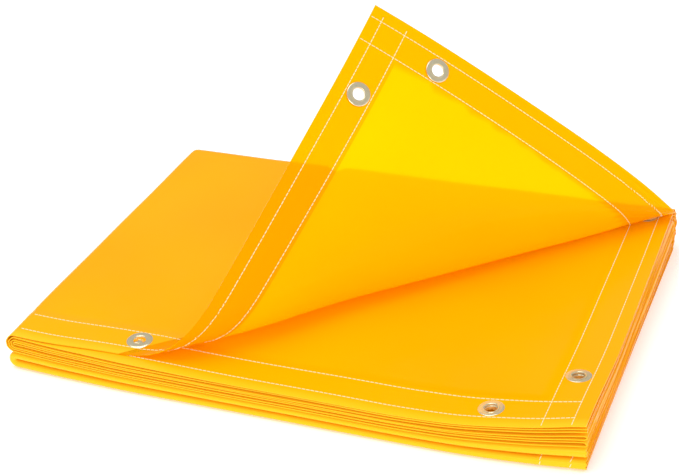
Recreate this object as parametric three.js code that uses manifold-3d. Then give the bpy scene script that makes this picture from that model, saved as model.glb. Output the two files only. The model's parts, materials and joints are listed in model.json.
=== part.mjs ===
// A sewn vinyl welding curtain, folded into a pack of sixteen layers, with one top corner peeled back.
// Millimetres. +X along the long side, +Y from the near edge to the back fold, +Z up.
// The origin is on the surface that the pack lies on, under the middle of the pack.
//
// The pack is two halves of eight layers. Layers 1 to 8, counted from the top, are the upper half.
// Layers 9 to 16 are the lower half. Each layer k wraps round the back edge into layer 17 - k.
import * as THREE from 'three';
import { mergeVertices } from 'three/addons/utils/BufferGeometryUtils.js';
import Module from 'manifold-3d';

const wasm = await Module();
wasm.setup();

// ---- driving sizes -------------------------------------------------------------------------------
const CURTAIN_LONG = 2438.4;      // cut and hemmed length, folded in four
const CURTAIN_SHORT = 1828.8;     // cut and hemmed width, folded in four
const SHEET_T = 0.4;              // vinyl
const HEM_PLIES = 2;
const HEM_MARGIN = 4.5;           // inner stitch row to the hem's turned-under edge
const SEAM_CLEAR = 0.5;           // stitch row to the grommets between the rows
const THREAD_R = 0.3;

const BORE_R = 6.35;              // clear hole of the grommet
const BARREL_WALL = 0.45;
const FLANGE_R = 13.5;
const FLANGE_T = 0.9;
const WASHER_R = 12.6;
const WASHER_T = 0.5;
const LIP_T = 0.3;                // rolled end of the barrel, under the washer
const LIP_W = 1.5;
const GROMMET_INSET = 27.5;       // hem edge to the middle of the hole
const LONG_FIRST = 95.25;         // first grommet from the corner, on the long sides
const LONG_COUNT = 7;
const SHORT_FIRST = 88.9;         // first grommet from the corner, on the short sides
const SHORT_COUNT = 6;

const SEAT_GAP = 0.12;            // metal or thread to vinyl
const LIP_GAP = 0.08;             // washer to rolled lip
const HOLE_GAP = 0.3;             // barrel to punched hole, and barrel to washer
const STACK_GAP = 0.16;           // between the grommets of one stack
const LEAF_GAP = 0.3;             // end of a layer to its back fold
const HINGE_GAP = 1.2;            // between the segments of the peeled corner
const LAP = 1.0;                  // fold strip into its layer, inside one sheet
const TUCK = 0.05;                // the flat ply stops this short of the hem's outer faces
const FOLD_T = SHEET_T - 0.02;    // vinyl drawn round a fold

const PEEL_PAST = 41.4;           // left grommet to where the first hinge line meets the near edge
const PEEL_BETAS = [2.2, 4.7, 7.4];   // hinge lines, degrees round from the crease
const PEEL_REST = 37.1;           // degrees that each hinge line is bent at rest
const APEX_CLEAR = 7;             // grommet beside the peel's apex to where the corner starts to lift

const FINE = 16;                  // sides of a grommet that shows
const COARSE = 9;                 // sides of a grommet inside the pack
const HOLE_SIDES = 12;

// ---- sizes that follow ---------------------------------------------------------------------------
const PACK_L = CURTAIN_LONG / 4;
const PACK_D = CURTAIN_SHORT / 4;
const LONG_STEP = (CURTAIN_LONG - 2 * LONG_FIRST) / (LONG_COUNT - 1);
const SHORT_STEP = (CURTAIN_SHORT - 2 * SHORT_FIRST) / (SHORT_COUNT - 1);
const SEAM_OUTER = GROMMET_INSET - FLANGE_R - SEAM_CLEAR;
const SEAM_INNER = GROMMET_INSET + FLANGE_R + SEAM_CLEAR;
const HEM_W = SEAM_INNER + HEM_MARGIN;
const HEM_T = SHEET_T * HEM_PLIES;
const FACE_SIDE = SEAT_GAP + FLANGE_T;
const BACK_SIDE = SEAT_GAP + WASHER_T + LIP_GAP + LIP_T;
const PITCH = HEM_T + 2 * Math.max(FACE_SIDE, BACK_SIDE) + STACK_GAP;
const LAYERS = 16;
const HALF = LAYERS / 2;
const LOWEST = HEM_T / 2 + Math.max(FACE_SIDE, BACK_SIDE);
const zOf = (layer) => LOWEST + (LAYERS - layer) * PITCH;

const X_MIN = -PACK_L / 2;
const X_MAX = PACK_L / 2;
const Y_MIN = -PACK_D / 2;
const Y_MAX = PACK_D / 2;
const between = (a, b) => Math.abs(a - b) * PITCH / 2;     // mid radius of the fold that joins two layers
const X_LEFT = X_MIN + between(1, 8) + SHEET_T / 2;        // where the left folds begin
const X_RIGHT = X_MAX - between(7, 8) - SHEET_T / 2;       // where the right folds begin
const Y_NEAR = Y_MIN + between(13, 16) + SHEET_T / 2;      // where the near loops begin
const Y_BACK = Y_MAX - between(1, LAYERS) - SHEET_T / 2;   // where the back folds begin
const Z_SPLIT = (zOf(HALF) + zOf(HALF + 1)) / 2;           // axis of the back fold
const BARREL_R = BORE_R + BARREL_WALL;
const HOLE_R = BARREL_R + HOLE_GAP;

// Layers with a hem along the right: the two short sides of the curtain, in four layers each.
const hasRightHem = (layer) => layer <= 4 || layer >= 13;
const rightEnd = (layer) => (hasRightHem(layer) ? X_MAX : X_RIGHT);
const isUpper = (layer) => layer <= HALF;
// The printed face of the sheet turns over at every fold, so it looks up on the odd layers.
const faceUp = (layer) => layer % 2 === 1;

// ---- materials -----------------------------------------------------------------------------------
const vinyl = new THREE.MeshStandardMaterial({ color: 0xffb400, roughness: 0.28, metalness: 0 });
const vinylSingle = new THREE.MeshStandardMaterial({ color: 0xffd800, roughness: 0.28, metalness: 0 });
const brass = new THREE.MeshStandardMaterial({ color: 0xcbb98a, roughness: 0.3, metalness: 1 });
const thread = new THREE.MeshStandardMaterial({ color: 0xf6efd8, roughness: 0.8, metalness: 0 });

const curtain = new THREE.Group();

// ---- solids --------------------------------------------------------------------------------------
function solid(geometry) {
  const bare = geometry.index ? geometry.toNonIndexed() : geometry.clone();
  bare.deleteAttribute('normal');
  bare.deleteAttribute('uv');
  const merged = mergeVertices(bare, 1e-5);
  return new wasm.Manifold(new wasm.Mesh({
    numProp: 3,
    vertProperties: new Float32Array(merged.attributes.position.array),
    triVerts: new Uint32Array(merged.index.array),
  }));
}

function geometryOf(manifold) {
  const mesh = manifold.getMesh();
  const geometry = new THREE.BufferGeometry();
  geometry.setAttribute('position', new THREE.BufferAttribute(new Float32Array(mesh.vertProperties), 3));
  geometry.setIndex(new THREE.BufferAttribute(new Uint32Array(mesh.triVerts), 1));
  geometry.computeVertexNormals();
  return geometry;
}

function joined(pieces) {
  return pieces.reduce((whole, piece) => whole.add(piece));
}

function slab(x0, x1, y0, y1, middle, thickness) {
  const box = new THREE.BoxGeometry(x1 - x0, y1 - y0, thickness);
  box.translate((x0 + x1) / 2, (y0 + y1) / 2, middle);
  return solid(box);
}

function prism(corners, z0, z1) {
  const outline = new THREE.Shape(corners.map(([x, y]) => new THREE.Vector2(x, y)));
  const geometry = new THREE.ExtrudeGeometry(outline, { depth: z1 - z0, bevelEnabled: false });
  geometry.translate(0, 0, z0);
  return solid(geometry);
}

// A half-round strip of sheet: it bulges along `out` from `centre`, and runs `length` along the fold.
function foldStrip(centre, radius, out, length, lap, steps) {
  const inner = radius - FOLD_T / 2;
  const outer = radius + FOLD_T / 2;
  const section = new THREE.Shape();
  section.moveTo(-lap, -outer);
  section.lineTo(0, -outer);
  section.absarc(0, 0, outer, -Math.PI / 2, Math.PI / 2, false);
  section.lineTo(-lap, outer);
  section.lineTo(-lap, inner);
  section.lineTo(0, inner);
  section.absarc(0, 0, inner, Math.PI / 2, -Math.PI / 2, true);
  section.lineTo(-lap, -inner);
  const strip = new THREE.ExtrudeGeometry(section, { depth: length, bevelEnabled: false, curveSegments: steps });
  strip.translate(0, 0, -length / 2);
  const up = new THREE.Vector3(0, 0, 1);
  const along = new THREE.Vector3().crossVectors(out, up);
  strip.applyMatrix4(new THREE.Matrix4().makeBasis(out, up, along));
  strip.translate(centre.x, centre.y, centre.z);
  return solid(strip);
}

const LEFTWARD = new THREE.Vector3(-1, 0, 0);
const RIGHTWARD = new THREE.Vector3(1, 0, 0);
const BACKWARD = new THREE.Vector3(0, 1, 0);
const NEARWARD = new THREE.Vector3(0, -1, 0);

function sideFold(a, b, left) {
  const y0 = (isUpper(a) ? Y_MIN : Y_NEAR) + 2 * TUCK;
  const y1 = Y_BACK - LEAF_GAP - TUCK;
  const centre = new THREE.Vector3(left ? X_LEFT : X_RIGHT, (y0 + y1) / 2, (zOf(a) + zOf(b)) / 2);
  const steps = between(a, b) > PITCH ? 6 : 4;
  return foldStrip(centre, between(a, b), left ? LEFTWARD : RIGHTWARD, y1 - y0, LAP, steps);
}

function nearLoop(a, b) {
  const x0 = X_LEFT + TUCK;
  const x1 = rightEnd(a) - 2 * TUCK;
  const centre = new THREE.Vector3((x0 + x1) / 2, Y_NEAR, (zOf(a) + zOf(b)) / 2);
  return foldStrip(centre, between(a, b), NEARWARD, x1 - x0, LAP, 6);
}

// ---- grommets ------------------------------------------------------------------------------------
// Each hem runs through four layers. A grommet's place along its hem gives its layer, and how far it is
// from the pack's right end or near edge. Where it would lie in a fold, the sheet folds beside it.
function alongHem(place, quarter, least, most) {
  const q = Math.min(Math.floor(place / quarter), 3);
  const from = q % 2 === 0 ? place - q * quarter : (q + 1) * quarter - place;
  return { q, from: THREE.MathUtils.clamp(from, least(q), quarter - most(q)) };
}

const clearOfFold = FLANGE_R + SEAT_GAP;
const grommets = [];

for (const layers of [[1, 8, 7, 2], [4, 5, 6, 3]]) {
  for (let i = 0; i < LONG_COUNT; i++) {
    const rightClear = (q) => (q === 1 || q === 2 ? X_MAX - X_RIGHT + clearOfFold : 0);
    const leftClear = () => X_LEFT - X_MIN + clearOfFold;
    const { q, from } = alongHem(LONG_FIRST + i * LONG_STEP, PACK_L, rightClear, leftClear);
    grommets.push({ layer: layers[q], hem: 'near', from, x: X_MAX - from, y: Y_MIN + GROMMET_INSET });
  }
}
for (const layers of [[1, 16, 13, 4], [2, 15, 14, 3]]) {
  for (let i = 0; i < SHORT_COUNT; i++) {
    const nearClear = (q) => (q === 1 || q === 2 ? Y_NEAR - Y_MIN + clearOfFold : 0);
    const backClear = () => Y_MAX - Y_BACK + LEAF_GAP + clearOfFold;
    const { q, from } = alongHem(SHORT_FIRST + i * SHORT_STEP, PACK_D, nearClear, backClear);
    grommets.push({ layer: layers[q], hem: 'side', from, x: X_MAX - GROMMET_INSET, y: Y_MIN + from });
  }
}
// On each layer they are counted along the hem from the pack's near right corner.
grommets.sort((a, b) => a.from - b.from);
for (const g of grommets) {
  const before = grommets.filter((each) => each.name && each.layer === g.layer && each.hem === g.hem);
  g.name = `layer_${g.layer}_${g.hem}_${before.length + 1}`;
}
const named = (name) => grommets.find((g) => g.name === name);

// The four corners of the section are listed round the ring, from the bore outwards.
function ring(section, sides) {
  const points = [...section, section[0]].map(([r, z]) => new THREE.Vector2(r, z));
  const lathe = new THREE.LatheGeometry(points, sides);
  lathe.rotateX(Math.PI / 2);
  const made = solid(lathe);
  if (made.volume() > 0) return made;
  const index = lathe.index.array;
  for (let i = 0; i < index.length; i += 3) [index[i], index[i + 1]] = [index[i + 1], index[i]];
  return solid(lathe);
}

const SEAT = HEM_T / 2 + SEAT_GAP;
const washerFar = -SEAT - WASHER_T;
const lipTop = washerFar - LIP_GAP;

function eyelet(sides) {
  return ring([
    [BORE_R, SEAT + FLANGE_T * 0.72],
    [BORE_R + 1.3, SEAT + FLANGE_T],
    [FLANGE_R - 1.5, SEAT + FLANGE_T],
    [FLANGE_R, SEAT],
    [BARREL_R, SEAT],
    [BARREL_R, lipTop],
    [BARREL_R + LIP_W, lipTop],
    [BARREL_R + LIP_W - 0.3, lipTop - LIP_T],
    [BORE_R, lipTop - LIP_T],
  ], sides);
}

function washer(sides) {
  return ring([
    [BARREL_R + HOLE_GAP, -SEAT],
    [WASHER_R, -SEAT],
    [WASHER_R - 0.4, washerFar],
    [BARREL_R + HOLE_GAP, washerFar],
  ], sides);
}

// A grommet inside the pack: eyelet and washer set into one piece, with a groove for the hem.
function setGrommet(sides) {
  return ring([
    [BORE_R, SEAT + FLANGE_T],
    [FLANGE_R, SEAT + FLANGE_T],
    [FLANGE_R, SEAT],
    [BARREL_R, SEAT],
    [BARREL_R, -SEAT],
    [WASHER_R, -SEAT],
    [WASHER_R, lipTop - LIP_T],
    [BORE_R, lipTop - LIP_T],
  ], sides);
}

// ---- the peeled corner's lines -------------------------------------------------------------------
// The corner curls as a cone: every hinge line runs to one apex, where the right hem meets the back fold.
const APEX = new THREE.Vector3(X_MAX, Y_BACK, zOf(1));
const radians = THREE.MathUtils.degToRad;
const firstLineX = named('layer_1_near_2').x + PEEL_PAST;
const besideApex = named('layer_1_side_2');
const APEX_R = Math.hypot(APEX.x - besideApex.x, APEX.y - besideApex.y) + FLANGE_R + APEX_CLEAR;
const creaseAngle = Math.atan2(X_MAX - firstLineX, Y_BACK - Y_MIN) + radians(PEEL_BETAS[0]);
const FAR = 2 * Math.hypot(PACK_L, PACK_D);

function rayDirection(degreesFromCrease) {
  const angle = creaseAngle - radians(degreesFromCrease);
  return new THREE.Vector3(-Math.sin(angle), -Math.cos(angle), 0);
}

// A point `r` along a ray from the apex, moved `aside` towards the free corner.
function onRay(degreesFromCrease, r, aside) {
  const d = rayDirection(degreesFromCrease);
  return [APEX.x + d.x * r - d.y * aside, APEX.y + d.y * r + d.x * aside];
}

function wedge(from, to, startRadius, fromAside, toAside) {
  const end = to === null
    ? [[X_MAX + PACK_L, Y_MIN - PACK_D], [X_MAX + PACK_L, APEX.y - startRadius], [X_MAX, APEX.y - startRadius]]
    : [onRay(to, FAR, toAside), onRay(to, startRadius, toAside)];
  return prism([onRay(from, startRadius, fromAside), onRay(from, FAR, fromAside), ...end],
    zOf(1) - PITCH, zOf(1) + PITCH);
}

// ---- sheets --------------------------------------------------------------------------------------
function hemOutline(layer, y1) {
  const left = X_LEFT + TUCK;
  const right = hasRightHem(layer) ? X_MAX : X_RIGHT - TUCK;
  const far = y1 - TUCK;
  if (!isUpper(layer)) {
    const near = Y_NEAR + TUCK;
    return [[X_MAX - HEM_W, near], [X_MAX, near], [X_MAX, far], [X_MAX - HEM_W, far]];
  }
  const inner = Y_MIN + HEM_W;
  if (!hasRightHem(layer)) return [[left, Y_MIN], [right, Y_MIN], [right, inner], [left, inner]];
  return [[left, Y_MIN], [X_MAX, Y_MIN], [X_MAX, far], [X_MAX - HEM_W, far], [X_MAX - HEM_W, inner], [left, inner]];
}

function leaf(layer) {
  const z = zOf(layer);
  const y0 = isUpper(layer) ? Y_MIN + TUCK : Y_NEAR;
  const y1 = Y_BACK - LEAF_GAP;
  const x1 = hasRightHem(layer) ? X_MAX - TUCK : X_RIGHT;
  let sheet = slab(X_LEFT, x1, y0, y1, z, SHEET_T);
  if (isUpper(layer) || hasRightHem(layer)) {
    sheet = sheet.add(prism(hemOutline(layer, y1), z - HEM_T / 2, z + HEM_T / 2));
  }
  for (const g of grommets.filter((each) => each.layer === layer)) {
    const punch = new THREE.CylinderGeometry(HOLE_R, HOLE_R, PITCH, HOLE_SIDES);
    punch.rotateX(Math.PI / 2);
    punch.translate(g.x, g.y, z);
    sheet = sheet.subtract(solid(punch));
  }
  return sheet;
}

function addMesh(name, manifold, material, parent = curtain) {
  const mesh = new THREE.Mesh(geometryOf(manifold), material);
  mesh.name = name;
  parent.add(mesh);
  return mesh;
}

const topLeaf = leaf(1);
const peelCut = wedge(PEEL_BETAS[0], null, APEX_R - HINGE_GAP, -HINGE_GAP / 2, 0);
const topFixed = topLeaf.subtract(peelCut);

addMesh('upper_sheet_outer', joined([
  topFixed, leaf(8), leaf(7), leaf(2),
  sideFold(1, 8, true), sideFold(2, 7, true), sideFold(7, 8, false),
]), vinyl);
addMesh('upper_sheet_inner', joined([
  leaf(3), leaf(6), leaf(5), leaf(4),
  sideFold(3, 6, true), sideFold(4, 5, true), sideFold(5, 6, false),
]), vinyl);
addMesh('lower_sheet', joined([
  ...[9, 10, 11, 12, 13, 14, 15, 16].map(leaf),
  sideFold(9, 16, true), sideFold(10, 15, true), sideFold(11, 14, true), sideFold(12, 13, true),
  sideFold(9, 10, false), sideFold(11, 12, false),
  nearLoop(13, 16), nearLoop(14, 15), nearLoop(9, 12), nearLoop(10, 11),
]), vinyl);

for (let layer = 1; layer <= HALF; layer++) {
  const x1 = rightEnd(layer);
  const centre = new THREE.Vector3((X_LEFT + x1) / 2, Y_BACK, Z_SPLIT);
  const strip = foldStrip(centre, between(layer, LAYERS + 1 - layer), BACKWARD, x1 - X_LEFT, 0, 6);
  addMesh(`back_fold_${layer}`, strip, vinyl);
}

// ---- the peeled corner, three segments on three hinge lines --------------------------------------
const hinges = [];
let holder = curtain;
PEEL_BETAS.forEach((beta, i) => {
  const hinge = new THREE.Group();
  if (i === 0) hinge.position.copy(APEX);
  hinge.quaternion.setFromAxisAngle(rayDirection(beta), radians(PEEL_REST));
  holder.add(hinge);
  hinges.push(hinge);
  holder = hinge;
});

// Pieces of the corner are shaped flat, in place, then moved so that the apex is their origin.
function addPeeled(name, manifold, material, segment) {
  const mesh = addMesh(name, manifold, material, hinges[segment]);
  mesh.geometry.translate(-APEX.x, -APEX.y, -APEX.z);
  return mesh;
}

PEEL_BETAS.forEach((beta, i) => {
  const next = i + 1 < PEEL_BETAS.length ? PEEL_BETAS[i + 1] : null;
  const region = wedge(beta, next, APEX_R, HINGE_GAP / 2, -HINGE_GAP / 2);
  addPeeled(`corner_sheet_${i + 1}`, topLeaf.intersect(region), vinylSingle, i);
});

// ---- stitching -----------------------------------------------------------------------------------
function threadRun(a, b, z) {
  const length = Math.hypot(b[0] - a[0], b[1] - a[1]);
  const run = new THREE.CylinderGeometry(THREAD_R, THREAD_R, length, 6);
  run.rotateZ(Math.atan2(b[1] - a[1], b[0] - a[0]) - Math.PI / 2);
  run.translate((a[0] + b[0]) / 2, (a[1] + b[1]) / 2, z);
  return solid(run);
}

// Where a hinge ray crosses the line y = const, measured along X.
function rayAtY(beta, y, aside) {
  const [x0, y0] = onRay(beta, 0, aside);
  const d = rayDirection(beta);
  return x0 + d.x * (y - y0) / d.y;
}

const ON_HEM = HEM_T / 2 + SEAT_GAP + THREAD_R;
const OVER_THREAD = ON_HEM + 2 * THREAD_R + SEAT_GAP;
const rows = [['outer', SEAM_OUTER], ['inner', SEAM_INNER]];
for (const [row, inset] of rows) {
  const y = Y_MIN + inset;
  const x = X_MAX - inset;
  const top = zOf(1) + ON_HEM;
  const under = zOf(2) + ON_HEM;
  const clear = HINGE_GAP / 2 + THREAD_R;
  const farEnd = APEX.y - APEX_R - HINGE_GAP - THREAD_R;
  addMesh(`top_near_thread_${row}`,
    threadRun([X_LEFT, y], [rayAtY(PEEL_BETAS[0], y, -clear), y], top), thread);
  PEEL_BETAS.forEach((beta, i) => {
    const last = i + 1 === PEEL_BETAS.length;
    const end = last ? X_MAX : rayAtY(PEEL_BETAS[i + 1], y, -clear);
    addPeeled(`corner_near_thread_${row}_${i + 1}`,
      threadRun([rayAtY(beta, y, clear), y], [end, y], top), thread, i);
  });
  addPeeled(`corner_side_thread_${row}`,
    threadRun([x, Y_MIN], [x, farEnd], zOf(1) + OVER_THREAD), thread, PEEL_BETAS.length - 1);
  addMesh(`second_near_thread_${row}`, threadRun([X_LEFT, y], [X_MAX, y], under), thread);
  addMesh(`second_side_thread_${row}`,
    threadRun([x, Y_MIN], [x, Y_BACK - LEAF_GAP], zOf(2) + OVER_THREAD), thread);
}

// ---- grommets in their hems ----------------------------------------------------------------------
function placed(manifold, g) {
  const geometry = geometryOf(manifold);
  if (!faceUp(g.layer)) geometry.rotateX(Math.PI);
  geometry.translate(g.x, g.y, zOf(g.layer));
  return solid(geometry);
}

const lastLine = rayDirection(PEEL_BETAS[PEEL_BETAS.length - 1]);
function isPeeled(g) {
  const x = g.x - APEX.x;
  const y = g.y - APEX.y;
  return g.layer === 1 && Math.hypot(x, y) > APEX_R && lastLine.x * y - lastLine.y * x > 0;
}

for (const g of grommets) {
  const peeled = isPeeled(g);
  const shows = g.layer === 1 || g.name === 'layer_2_near_1' || g.name === 'layer_2_side_1';
  const add = peeled
    ? (name, made) => addPeeled(name, made, brass, PEEL_BETAS.length - 1)
    : (name, made) => addMesh(name, made, brass);
  if (shows) {
    add(`eyelet_${g.name}`, placed(eyelet(FINE), g));
    add(`washer_${g.name}`, placed(washer(FINE), g));
  } else {
    add(`grommet_${g.name}`, placed(setGrommet(COARSE), g));
  }
}

export default curtain;
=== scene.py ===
import json
import math

import bpy
import numpy as np
from mathutils import Matrix, Vector


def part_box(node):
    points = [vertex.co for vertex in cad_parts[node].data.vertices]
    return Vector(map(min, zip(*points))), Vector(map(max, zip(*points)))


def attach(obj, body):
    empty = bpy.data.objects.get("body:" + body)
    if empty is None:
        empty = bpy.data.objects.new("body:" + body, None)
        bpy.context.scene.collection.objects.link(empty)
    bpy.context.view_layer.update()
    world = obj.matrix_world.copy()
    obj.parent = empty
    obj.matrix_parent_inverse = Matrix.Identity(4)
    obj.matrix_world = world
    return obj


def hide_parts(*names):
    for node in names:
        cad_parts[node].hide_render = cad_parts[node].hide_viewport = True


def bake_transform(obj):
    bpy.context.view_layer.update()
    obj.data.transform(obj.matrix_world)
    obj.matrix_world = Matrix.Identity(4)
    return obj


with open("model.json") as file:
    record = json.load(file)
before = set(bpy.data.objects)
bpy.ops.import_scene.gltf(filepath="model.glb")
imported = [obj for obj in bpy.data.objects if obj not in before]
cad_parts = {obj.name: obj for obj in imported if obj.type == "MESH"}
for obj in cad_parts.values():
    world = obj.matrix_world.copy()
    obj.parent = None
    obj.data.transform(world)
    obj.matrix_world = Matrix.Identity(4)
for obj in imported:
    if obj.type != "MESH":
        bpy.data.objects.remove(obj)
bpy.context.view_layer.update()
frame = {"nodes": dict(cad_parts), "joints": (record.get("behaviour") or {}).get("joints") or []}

MM = 0.001

# ---- sizes read from the frame ----
JOINTS = {joint["name"]: joint for joint in frame["joints"]}
APEX = np.array(JOINTS["peel_corner"]["pos_m"], float)
SPINE = np.array(JOINTS["open_pack"]["pos_m"], float)
HALF_LAYERS = 8
HEMMED_LAYERS = 4  # layers 1 to 4 end in the right hem, 5 to 8 in a right fold
PITCH = (APEX[2] - SPINE[2]) / (HALF_LAYERS - 0.5)
Z_SPLIT = SPINE[2]
Z_TOP = APEX[2]
Y_BACK = SPINE[1]
pack_low, pack_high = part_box("lower_sheet")
X_MIN, Y_MIN = pack_low.x, pack_low.y
X_MAX = pack_high.x
SHEET_T = 0.4 * MM
HEM_T = 0.86 * MM
# Where the flat layers end and the left folds, the right folds and the near loops begin.
X_LEFT = X_MIN + 3.5 * PITCH + SHEET_T / 2
X_RIGHT = X_MAX - PITCH / 2 - SHEET_T / 2
Y_NEAR = Y_MIN + 1.5 * PITCH + SHEET_T / 2

SEAM_OUTER = 13.5 * MM
SEAM_INNER = 41.5 * MM
HEM_W = 46 * MM
HEM_STEP = 0.35 * MM  # the turned-under edge rises over this width, each way
ROLL_FLAT = 6 * MM  # flat strip of a layer that belongs to its back fold
WRAP_FLAT = 1 * MM  # flat strip beside a side fold that belongs to the fold's way round the back
HOLE_HALF = 6.9 * MM  # half of the opening in the hem, under a grommet's flange

# ---- how the stack has settled ----
# Height of the top layer at the pack's four corners.
LIE_NEAR_LEFT = 40 * MM
LIE_NEAR_RIGHT = 41 * MM
LIE_FAR_LEFT = 58 * MM
LIE_FAR_RIGHT = 52 * MM
# Along the near edge, from left to right: how far the top layer lies above or below a straight edge,
# and how far the whole edge bulges forward.
EDGE_AT = np.array([-305, -250, -168, 0, 120, 180, 210, 254, 287, 305]) * MM
EDGE_RISE = np.array([0, -3, -6, -7, -8, -5.5, -2, 3.5, 9, 13]) * MM
EDGE_BULGE = np.array([0, 4, 8, 10, 11.5, 12, 11, 8, 4, 1.5]) * MM
EDGE_REACH = 0.35  # share of the pack's depth over which these fade out
EDGE_SLOPE = 4 * MM  # the top layer's near edge lies this far behind the lower half's
EDGE_FADE = 90 * MM  # what is uneven at an edge fades out over this width
WAVE = 0.9 * MM
# Three shallow waves over the pack: radians per metre of X and of Y, phase, share.
RIPPLES = [(17, 9, 0.6, 0.5), (31, -21, 2.1, 0.3), (11, 38, 4.0, 0.3)]
BUNCH = 0.7 * MM  # the upper layers crowd together and part again along the near edge
BUNCH_WAVE = (640, 9)  # radians per metre of height and of X
NEAR_UNEVEN = 0.8 * MM  # no two near edges lie quite in line
NEAR_WAVES = ((2300, 7), (900, 13))
RIGHT_UNEVEN = 1.4 * MM  # nor do the right edges
RIGHT_WAVE = (1700, 8)  # radians per metre of height and of Y
RIGHT_SLOPE = 1.5 * MM  # the top layer's right edge lies this far inside the lower half's
PULL_BACK = 13 * MM  # the top layer is drawn back where its corner is peeled off
PULL_AT = -150 * MM
PULL_REACH = 160 * MM
TABLE_STEPS = 245
TABLE_SOFTEN = 27


def smooth(t):
    t = np.clip(t, 0, 1)
    return t * t * (3 - 2 * t)


TABLE_X = np.linspace(X_MIN, X_MAX, TABLE_STEPS)


def softened(values):
    """A table of these edge values along X, with its corners rounded off."""
    kernel = np.hanning(TABLE_SOFTEN)
    table = np.interp(TABLE_X, EDGE_AT, values)
    return np.convolve(np.pad(table, TABLE_SOFTEN // 2, mode="edge"), kernel / kernel.sum(), mode="valid")


def wavy(a, b, rates):
    return np.sin(a * rates[0] + b * rates[1])


RISE_TABLE = softened(EDGE_RISE)
BULGE_TABLE = softened(EDGE_BULGE)


def settled(points):
    """Moves points of the regular stack to where they lie once it is pressed down, bulged and wavy."""
    p = np.array(points, float)
    x, y, z = p[..., 0], p[..., 1], p[..., 2]
    u = np.clip((x - X_MIN) / (X_MAX - X_MIN), 0, 1)
    v = np.clip((y - Y_MIN) / (Y_BACK - Y_MIN), 0, 1)
    near = LIE_NEAR_LEFT * (1 - u) + LIE_NEAR_RIGHT * u
    far = LIE_FAR_LEFT * (1 - u) + LIE_FAR_RIGHT * u
    edge = 1 - smooth(v / EDGE_REACH)
    height = (near * (1 - v) + far * v + np.interp(x, TABLE_X, RISE_TABLE) * edge) / Z_TOP
    level = np.clip(z / Z_TOP, 0, 1)
    upper = np.clip((z - Z_SPLIT) / (Z_TOP - Z_SPLIT), 0, 1)
    ripple = sum(np.sin(x * a + y * b + phase) * share for a, b, phase, share in RIPPLES)
    z2 = z + (height - 1) * np.minimum(z, Z_TOP) + WAVE * ripple * level
    near_fade = 1 - smooth((y - Y_MIN) / EDGE_FADE)
    z2 = z2 + near_fade * BUNCH * upper * (1 - upper) * 4 * wavy(z, x, BUNCH_WAVE)
    uneven = wavy(z, x, NEAR_WAVES[0]) * wavy(z, x, NEAR_WAVES[1])
    y2 = y + near_fade * (EDGE_SLOPE * upper + NEAR_UNEVEN * uneven * upper)
    y2 = y2 - np.interp(x, TABLE_X, BULGE_TABLE) * edge
    above = smooth((z - Z_TOP + PITCH) / PITCH)
    beside = np.clip((x - PULL_AT) / PULL_REACH, -1, 1)
    pulled = PULL_BACK * np.cos(beside * math.pi / 2) ** 2 * (1 - smooth((y - Y_MIN) / PULL_REACH))
    y2 = y2 + pulled * above
    right_fade = smooth((x - X_MAX + EDGE_FADE) / EDGE_FADE)
    uneven = 0.5 + 0.5 * wavy(z, y, RIGHT_WAVE)
    x2 = x - right_fade * (RIGHT_UNEVEN * uneven + RIGHT_SLOPE * upper)
    return np.stack([x2, y2, z2], -1)


def height_of(layer):
    """How far a layer lies above the split between the halves."""
    return (HALF_LAYERS + 0.5 - layer) * PITCH


def on_layer(layer, x, y):
    x, y = np.broadcast_arrays(np.asarray(x, float), np.asarray(y, float))
    return settled(np.stack([x, y, np.full(x.shape, Z_SPLIT + height_of(layer))], -1))


# ---- the peeled corner ----
# A cone with its point at the apex: the vinyl turns from ray to ray, and bellies a little along each ray.
HINGES_FROM = math.radians(46.803)  # angle from which the frame's hinge lines are counted
CREASE_ANGLE = 0.835  # radians, between the right edge and the crease
CURL_SPAN = 0.2221  # share of the corner's angle over which it curls
CURL_TOTAL = 1.8794  # radians
CURL_SKEW = 0.3  # below 1, the curl is sharpest near the crease
EVEN_CURL = 0.3  # radians, spread evenly over the whole corner
BOW = -16 * MM  # scale of the corner's belly between the apex and its near hem, along the normal
BOW_POWER = 0.6133  # below 1, the belly is deepest nearer the apex than the hem
BOW_FULL_AT = 0.5  # share of the corner's angle by which the belly is at its full depth
EASE_TO = 30 * MM  # within this depth from the apex the curl eases in
PATH_STEPS = 40  # steps along a ray within that depth
CONE_STEPS = 480
EASE_STEPS = 24
DEPTH = Y_BACK - Y_MIN


def crease_x(y):
    return X_MAX - (Y_BACK - np.asarray(y, float)) * math.tan(CREASE_ANGLE)


def turned(vector, axis, angle):
    return (
        vector * math.cos(angle)
        + np.cross(axis, vector) * math.sin(angle)
        + axis * np.dot(axis, vector) * (1 - math.cos(angle))
    )


def cone_rays(share):
    """The direction and normal of each ray, for a corner curled by this share of its full curl."""
    beta = np.linspace(0, CREASE_ANGLE, CONE_STEPS)
    middle = np.clip((beta[:-1] + beta[1:]) / 2 / (CURL_SPAN * CREASE_ANGLE), 0, 1)
    curl = middle**CURL_SKEW * (1 - middle)
    curl = (curl / curl.sum() * CURL_TOTAL + EVEN_CURL / len(curl)) * share
    ray = np.array([-math.sin(CREASE_ANGLE), -math.cos(CREASE_ANGLE), 0.0])
    normal = np.array([0.0, 0.0, 1.0])
    rays, normals = [ray], [normal]
    step = beta[1] - beta[0]
    for bend in curl:
        ray = turned(ray, normal, step)
        normal = turned(normal, ray, bend)
        rays.append(ray)
        normals.append(normal)
    return np.array(rays), np.array(normals)


RAYS = np.array([cone_rays(i / EASE_STEPS)[0] for i in range(EASE_STEPS + 1)])
RAY_NORMALS = cone_rays(1.0)[1]


def table_place(share, steps):
    """Which of a table's entries comes before this share of it, and how far on the share lies."""
    place = np.clip(share, 0, 1) * steps
    before = np.minimum(place.astype(int), steps - 1)
    return before, (place - before)[..., None]


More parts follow.
